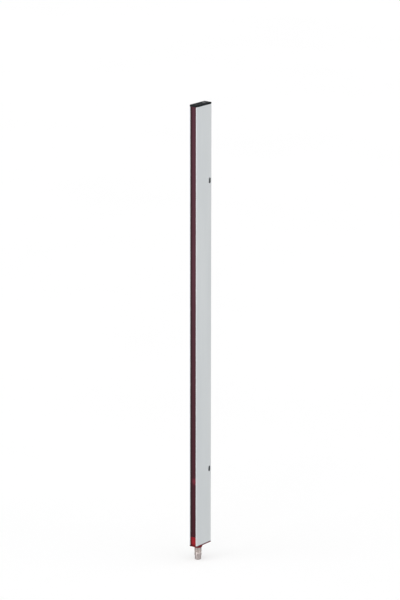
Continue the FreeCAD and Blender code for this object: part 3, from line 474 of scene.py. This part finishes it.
thread = bmesh.new()
pitch, flank, crestFlat = plugSize["pitch"], plugSize["flank"], plugSize["crestFlat"]
root, crest = plugSize["root"], plugSize["crest"]
threadEnd = plugSize["threadTop"] - plugSize["threadLength"]
turns = math.ceil(plugSize["threadLength"] / pitch) + plugSize["spareTurns"]
toothPath = [
    (root, 0.0), (crest, flank), (crest, flank + crestFlat), (root, 2 * flank + crestFlat), (root, pitch),
]
tooth = [thread.verts.new(axisFoot + Vector((r, 0, threadEnd - pitch + z))) for r, z in toothPath]
toothEdges = [thread.edges.new(pair) for pair in zip(tooth, tooth[1:])]
bmesh.ops.spin(thread, geom=tooth + toothEdges, cent=axisFoot, axis=(0, 0, 1),
               dvec=(0, 0, pitch / plugSize["steps"]), angle=2 * math.pi * turns,
               steps=plugSize["steps"] * turns, use_merge=False, use_duplicate=False)
weld(thread, plugSize["threadWeld"])
for cutZ, side in ((plugSize["threadTop"], 1), (threadEnd, -1)):
    bmesh.ops.bisect_plane(thread, geom=thread.verts[:] + thread.edges[:] + thread.faces[:],
                           dist=plugSize["cutSnap"], plane_co=axisFoot + Vector((0, 0, cutZ)),
                           plane_no=(0, 0, side), clear_outer=True)
    rim = [edge for edge in thread.edges if edge.is_boundary
           and all(abs(vert.co.z - axisFoot.z - cutZ) < meshCare["weld"] for vert in edge.verts)]
    for vert in newVerts(bmesh.ops.extrude_edge_only(thread, edges=rim)):  # closes the ends inside the core
        inward = (vert.co - axisFoot).xy.normalized() * plugSize["endRadius"]
        vert.co.x, vert.co.y = axisFoot.x + inward.x, axisFoot.y + inward.y
bmesh.ops.bridge_loops(thread, edges=[edge for edge in thread.edges if edge.is_boundary])
bmesh.ops.recalc_face_normals(thread, faces=thread.faces)
threadMesh = bpy.data.meshes.new("threadTurns")
thread.to_mesh(threadMesh)
thread.free()
bm.from_mesh(threadMesh)
bpy.data.meshes.remove(threadMesh)
finishPiece("plugShell", bm, "connector_shell", plugSize["shadeAngle"])
print("threaded plug done")

# every solid that still shows takes its finish
for node, item in frame["nodes"].items():
    item.data.materials.clear()
    item.data.materials.append(finishes[slotOfNode[node]])
print("finishes on all nodes")

# studio: pale floor, even white surroundings and soft suns
studio = {
    "floorSize": 60.0, "floorGap": 0.2 * mm, "floorTone": 0.50, "floorGrainTone": 0.51,
    "floorGrainScale": 3.0, "floorRough": 0.9, "floorLift": 0.46,
    "worldLight": 0.70,  # what the white surroundings shed on dull surfaces
}
suns = {
    "keySun": {"power": 1.05, "spread": 70.0, "turn": -8.0, "rise": 38.0},
    "sideSun": {"power": 0.9, "spread": 100.0, "turn": 95.0, "rise": 30.0},
    "glintSun": {"power": 0.7, "spread": 20.0, "turn": -16.0, "rise": 4.0},  # a line of light on the plug
}


def seenRays(owner):  # 1 for rays that the camera sees straight, in gloss or through glass
    path = addNode(owner, "ShaderNodeLightPath")
    seen = calculate(owner, "MAXIMUM", path.outputs["Is Camera Ray"], path.outputs["Is Glossy Ray"])
    return calculate(owner, "MAXIMUM", seen, path.outputs["Is Transmission Ray"])


floorZ = solidBox[0].z - studio["floorGap"]
bpy.ops.mesh.primitive_plane_add(size=studio["floorSize"], location=(0, 0, floorZ))
floor = bpy.context.object
floor.name = "studioFloor"
floorPaint = startMaterial("floorPaint", {"specular": 0.0, "glowColour": white})
floorShader = shaderOf(floorPaint)
floorGrain = grainOf(floorPaint, studio["floorGrainScale"], (1, 1, 1))
floorTone = tint(floorPaint, floorGrain, (studio["floorTone"],) * 3, (studio["floorGrainTone"],) * 3)
floorLift = calculate(floorPaint, "MULTIPLY", seenRays(floorPaint), studio["floorLift"])
wire(floorPaint, floorTone, floorShader.inputs["Base Color"])
wire(floorPaint, floorLift, floorShader.inputs["Emission Strength"])
floorShader.inputs["Roughness"].default_value = studio["floorRough"]
floor.data.materials.append(floorPaint)

world = bpy.data.worlds.new("studioWorld")
bpy.context.scene.world = world
world.use_nodes = True
backdrop = world.node_tree.nodes["Background"]
backdrop.inputs["Color"].default_value = (*white, 1.0)
shine = spread(world, seenRays(world), studio["worldLight"], 1.0, 0.0, 1.0)  # white where it is seen
wire(world, shine, backdrop.inputs["Strength"])

for name, sun in suns.items():
    lamp = bpy.data.lights.new(name, "SUN")
    lamp.energy = sun["power"]
    lamp.angle = math.radians(sun["spread"])
    lampObject = bpy.data.objects.new(name, lamp)
    lampObject.matrix_world = (Matrix.Rotation(math.radians(sun["turn"]), 4, "Z")
                               @ Matrix.Rotation(math.radians(90 - sun["rise"]), 4, "X"))
    bpy.context.scene.collection.objects.link(lampObject)
bpy.context.scene.view_settings.view_transform = "Standard"
print("studio ready")

# camera: the photograph's viewing angle
cameraView = {
    "place": (2.1965, -2.9500, 0.9809), "turn": 36.710, "tilt": 14.524, "roll": 0.055,
    "focalPixels": 3433.3, "imageHeight": 600, "sensor": 36.0, "farEnd": 200.0,
}
camera = bpy.data.cameras.new("photoCamera")
camera.sensor_width = cameraView["sensor"]
camera.lens = cameraView["focalPixels"] * cameraView["sensor"] / cameraView["imageHeight"]
camera.clip_end = cameraView["farEnd"]
cameraObject = bpy.data.objects.new("photoCamera", camera)
cameraObject.matrix_world = (Matrix.Translation(cameraView["place"])
                             @ Matrix.Rotation(math.radians(cameraView["turn"]), 4, "Z")
                             @ Matrix.Rotation(math.radians(90 - cameraView["tilt"]), 4, "X")
                             @ Matrix.Rotation(math.radians(cameraView["roll"]), 4, "Z"))
bpy.context.scene.collection.objects.link(cameraObject)
bpy.context.scene.camera = cameraObject
print("camera ready")
